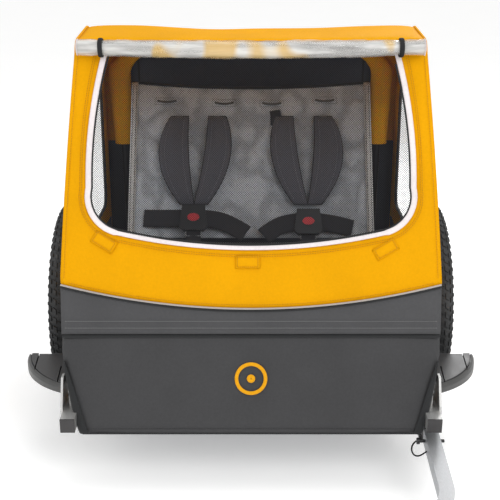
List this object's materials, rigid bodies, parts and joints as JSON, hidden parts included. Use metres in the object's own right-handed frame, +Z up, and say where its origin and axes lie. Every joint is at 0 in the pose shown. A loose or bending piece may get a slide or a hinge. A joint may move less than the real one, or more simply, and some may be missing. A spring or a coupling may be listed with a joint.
{
  "type": "child bicycle trailer",
  "caption": "Covered fabric trailer for children on spoked wheels, with a mesh window, padded harness seats, folding hoops and a side tow arm.",
  "frame": {"origin": "floor level, midway across the wheels and midway between the hitch tip and the rear end caps", "axes": "+X towards the tow arm's side, +Y to the rear, +Z up"},
  "size_m": [0.87, 1.4804, 0.773],
  "materials": {
    "frame_metal": "satin extruded tube",
    "hoop_metal": "satin round tube",
    "arm_metal": "satin square tube",
    "bracket_steel": "plated steel",
    "pin_steel": "plated steel",
    "black_plastic": "moulded",
    "guard_plastic": "moulded, fine grain",
    "pan_cloth": "coated floor cloth",
    "grey_cloth": "coated woven polyester",
    "band_cloth": "coated woven polyester",
    "yellow_cloth": "coated woven polyester",
    "piping_tape": "reflective piping",
    "mesh_net": "fine net",
    "clear_vinyl": "clear vinyl",
    "seat_cloth": "woven polyester",
    "harness_cloth": "padded webbing",
    "buckle_plastic": "moulded",
    "button_red": "moulded",
    "tyre_rubber": "knobbly tread",
    "rim_metal": "satin",
    "flex_rubber": "elastomer",
    "cord_black": "sleeved wire"
  },
  "bodies": {
    "chassis": {"left_rail": "frame_metal", "right_rail": "frame_metal", "front_end_caps": "black_plastic", "rear_end_caps": "black_plastic", "front_floor_crossbar": "frame_metal", "rear_floor_crossbar": "frame_metal", "floor_pan": "pan_cloth", "front_panel": "grey_cloth", "seat_frame": "black_plastic", "seat_cushion": "seat_cloth", "axle_brackets": "bracket_steel", "axles": "pin_steel", "left_bumper": "guard_plastic", "right_bumper": "guard_plastic", "bumper_brackets": "bracket_steel", "front_hinge_brackets": "bracket_steel", "rear_hinge_brackets": "bracket_steel", "hinge_pins": "pin_steel", "tow_bracket": "bracket_steel", "tow_pivot_pin": "pin_steel", "frame_bolts": "pin_steel", "front_cover": "yellow_cloth", "grey_band": "band_cloth", "hem_piping": "piping_tape", "window_piping": "piping_tape", "front_mesh": "mesh_net", "roof_panel": "yellow_cloth", "rear_cover": "grey_cloth", "left_side_cover": "yellow_cloth", "right_side_cover": "yellow_cloth", "side_windows": "clear_vinyl", "seat_back": "seat_cloth", "shoulder_pads": "harness_cloth", "waist_straps": "harness_cloth"},
    "harness": {"left_buckle": "buckle_plastic", "right_buckle": "buckle_plastic"},
    "left_button": {"left_buckle_button": "button_red"},
    "right_button": {"right_buckle_button": "button_red"},
    "front_frame": {"front_hoop": "hoop_metal", "rain_cover_roll": "clear_vinyl", "roll_loops": "flex_rubber"},
    "rear_frame": {"rear_hoop": "hoop_metal"},
    "left_wheel": {"left_tyre": "tyre_rubber", "left_rim": "rim_metal", "left_spokes": "pin_steel", "left_hub": "rim_metal"},
    "right_wheel": {"right_tyre": "tyre_rubber", "right_rim": "rim_metal", "right_spokes": "pin_steel", "right_hub": "rim_metal"},
    "left_release": {"left_release_button": "black_plastic"},
    "right_release": {"right_release_button": "black_plastic"},
    "arm": {"tow_arm": "arm_metal", "arm_root": "black_plastic", "flex_connector": "flex_rubber", "hitch_head": "bracket_steel", "hitch_pin": "pin_steel"},
    "lock": {"lock_pin": "pin_steel", "lanyard": "cord_black"},
    "hitch": {"axle_plate": "bracket_steel"}
  },
  "joints": [
    {"name": "front_hoop_fold", "type": "hinge", "parent": "chassis", "child": "front_frame", "pos_m": [0, 0.068, 0.165], "axis": [-1, 0, 0], "range_deg": [0, 59], "deforming": ["front_cover", "grey_band", "hem_piping", "window_piping", "front_mesh", "roof_panel", "rear_cover", "left_side_cover", "right_side_cover", "side_windows", "seat_back", "shoulder_pads", "waist_straps"]},
    {"name": "rear_hoop_fold", "type": "hinge", "parent": "chassis", "child": "rear_frame", "pos_m": [0, 0.7, 0.165], "axis": [1, 0, 0], "range_deg": [0, 81.9]},
    {"name": "harness_drop", "type": "slide", "parent": "chassis", "child": "harness", "axis": [0, 0, -1], "range_m": [0, 0.022]},
    {"name": "left_buckle_press", "type": "slide", "parent": "harness", "child": "left_button", "axis": [0, 0.8455, -0.534], "range_m": [0, 0.003], "stiffness_N_per_m": 400, "springref_m": -0.001},
    {"name": "right_buckle_press", "type": "slide", "parent": "harness", "child": "right_button", "axis": [0, 0.8455, -0.534], "range_m": [0, 0.003], "stiffness_N_per_m": 400, "springref_m": -0.001},
    {"name": "left_wheel_spin", "type": "hinge", "parent": "chassis", "child": "left_wheel", "pos_m": [-0.377, 0.438, 0.2], "axis": [1, 0, 0], "continuous": true},
    {"name": "right_wheel_spin", "type": "hinge", "parent": "chassis", "child": "right_wheel", "pos_m": [0.377, 0.438, 0.2], "axis": [1, 0, 0], "continuous": true},
    {"name": "left_release_press", "type": "slide", "parent": "chassis", "child": "left_release", "axis": [1, 0, 0], "range_m": [0, 0.003], "stiffness_N_per_m": 400, "springref_m": -0.001},
    {"name": "right_release_press", "type": "slide", "parent": "chassis", "child": "right_release", "axis": [-1, 0, 0], "range_m": [0, 0.003], "stiffness_N_per_m": 400, "springref_m": -0.001},
    {"name": "tow_arm_swing", "type": "hinge", "parent": "chassis", "child": "arm", "pos_m": [0.322, 0.054, 0.095], "axis": [0, 0, -1], "range_deg": [0, 85]},
    {"name": "lock_pin_pull", "type": "slide", "parent": "arm", "child": "lock", "axis": [-1, 0, 0], "range_m": [0, 0.045]},
    {"name": "hitch_swivel", "type": "hinge", "parent": "arm", "child": "hitch", "pos_m": [0.11297, -0.6644, 0.03], "axis": [0, 0, 1], "range_deg": [-50, 50]}
  ],
  "couplings": [
    {"joint": "rear_hoop_fold", "follows": "front_hoop_fold", "ratio": 1.385},
    {"joint": "harness_drop", "follows": "front_hoop_fold", "m_per_rad": 0.0213}
  ]
}
